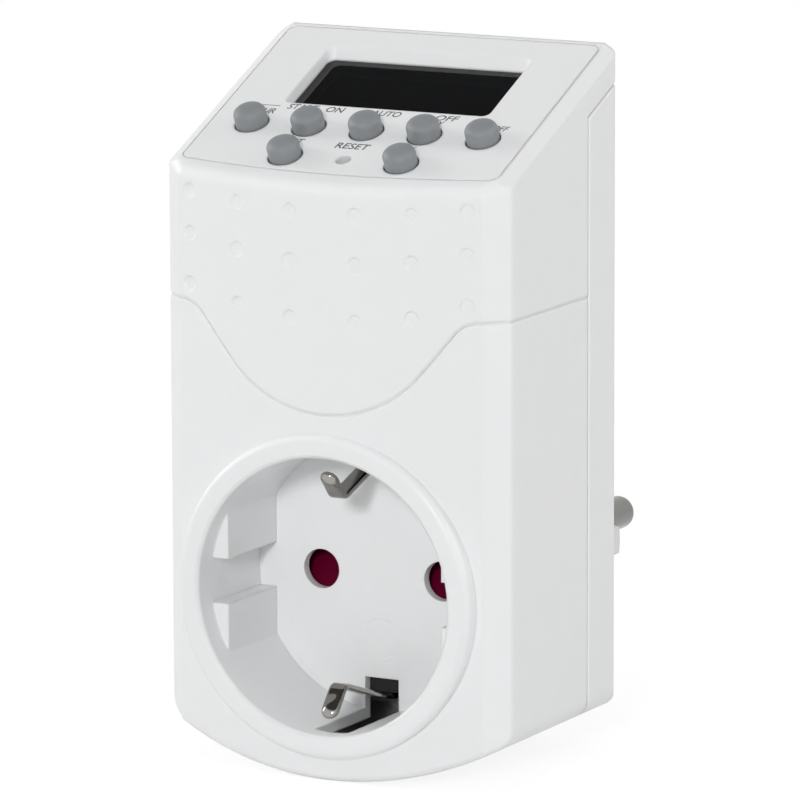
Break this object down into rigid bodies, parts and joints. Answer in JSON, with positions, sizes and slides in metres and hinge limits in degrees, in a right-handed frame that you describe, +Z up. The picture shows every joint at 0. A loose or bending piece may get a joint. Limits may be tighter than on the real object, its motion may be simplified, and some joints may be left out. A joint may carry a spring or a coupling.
{
  "type": "plug-in timer",
  "caption": "Digital plug-in timer with a type F socket, a plug on the back, a display and push keys on its sloped top",
  "frame": {"origin": "centre between the two plug pins, on the end face of the plug boss", "axes": "+Y into the wall socket along the plug pins, +Z up, +X to the right seen from the front"},
  "size_m": [0.0532, 0.0736, 0.0994],
  "materials": {
    "housing_white": "semi-gloss moulded",
    "key_grey": "satin moulded",
    "lcd_dark": "polished",
    "window_clear": "polished",
    "shutter_crimson": "semi-gloss moulded",
    "nickel": "nickel plated",
    "brass_contact": "stamped",
    "spring_steel": "drawn wire",
    "screw_steel": "zinc plated",
    "inner_plastic": "moulded",
    "mat_rubber": "silicone",
    "board_green": "solder resist",
    "black_plastic": "moulded",
    "film_capacitor": "moulded",
    "component_can": "drawn",
    "component_coat": "lacquered",
    "ribbon_grey": "PVC"
  },
  "bodies": {
    "root": {"lower_cover": "housing_white", "upper_cover": "housing_white", "rear_cover": "housing_white", "faceplate": "housing_white", "socket_floor": "housing_white", "shutter_carrier": "inner_plastic", "shutter_spring": "spring_steel", "earth_strap": "nickel", "plug_earth_strips": "nickel", "plug_pins": "nickel", "pin_holder": "inner_plastic", "contact_line": "brass_contact", "contact_neutral": "brass_contact", "feed_strip_line": "brass_contact", "feed_strip_neutral": "brass_contact", "keypad_mat": "mat_rubber", "reset_switch": "black_plastic", "lcd_window": "window_clear", "lcd_glass": "lcd_dark", "lcd_frame": "inner_plastic", "contact_strip": "mat_rubber", "control_board": "board_green", "microcontroller": "black_plastic", "crystal": "component_can", "backup_battery": "component_can", "power_board": "board_green", "relay": "black_plastic", "x2_capacitor": "film_capacitor", "bridge_rectifier": "black_plastic", "smoothing_capacitor": "component_can", "varistor": "component_coat", "dropper_resistor": "component_coat", "ribbon_cable": "ribbon_grey", "case_screws": "screw_steel", "floor_screws": "screw_steel", "board_screws": "screw_steel"},
    "shutter": {"shutter": "shutter_crimson"},
    "reset_plunger": {"reset_plunger": "black_plastic"},
    "key_1": {"key_1": "key_grey"},
    "key_2": {"key_2": "key_grey"},
    "key_3": {"key_3": "key_grey"},
    "key_4": {"key_4": "key_grey"},
    "key_5": {"key_5": "key_grey"},
    "key_6": {"key_6": "key_grey"},
    "key_7": {"key_7": "key_grey"}
  },
  "joints": [
    {"name": "key_1_press", "type": "slide", "parent": "root", "child": "key_1", "axis": [0, 0.4163, -0.9092], "range_m": [0, 0.001], "stiffness_N_per_m": 250},
    {"name": "key_2_press", "type": "slide", "parent": "root", "child": "key_2", "axis": [0, 0.4163, -0.9092], "range_m": [0, 0.001], "stiffness_N_per_m": 250},
    {"name": "key_3_press", "type": "slide", "parent": "root", "child": "key_3", "axis": [0, 0.4163, -0.9092], "range_m": [0, 0.001], "stiffness_N_per_m": 250},
    {"name": "key_4_press", "type": "slide", "parent": "root", "child": "key_4", "axis": [0, 0.4163, -0.9092], "range_m": [0, 0.001], "stiffness_N_per_m": 250},
    {"name": "key_5_press", "type": "slide", "parent": "root", "child": "key_5", "axis": [0, 0.4163, -0.9092], "range_m": [0, 0.001], "stiffness_N_per_m": 250},
    {"name": "key_6_press", "type": "slide", "parent": "root", "child": "key_6", "axis": [0, 0.4163, -0.9092], "range_m": [0, 0.001], "stiffness_N_per_m": 250},
    {"name": "key_7_press", "type": "slide", "parent": "root", "child": "key_7", "axis": [0, 0.4163, -0.9092], "range_m": [0, 0.001], "stiffness_N_per_m": 250},
    {"name": "reset_press", "type": "slide", "parent": "root", "child": "reset_plunger", "axis": [0, 0.4163, -0.9092], "range_m": [0, 0.00025], "stiffness_N_per_m": 200},
    {"name": "shutter_slide", "type": "slide", "parent": "root", "child": "shutter", "axis": [0, 0, -1], "range_m": [0, 0.0062], "stiffness_N_per_m": 150, "deforming": ["shutter_spring"]}
  ]
}
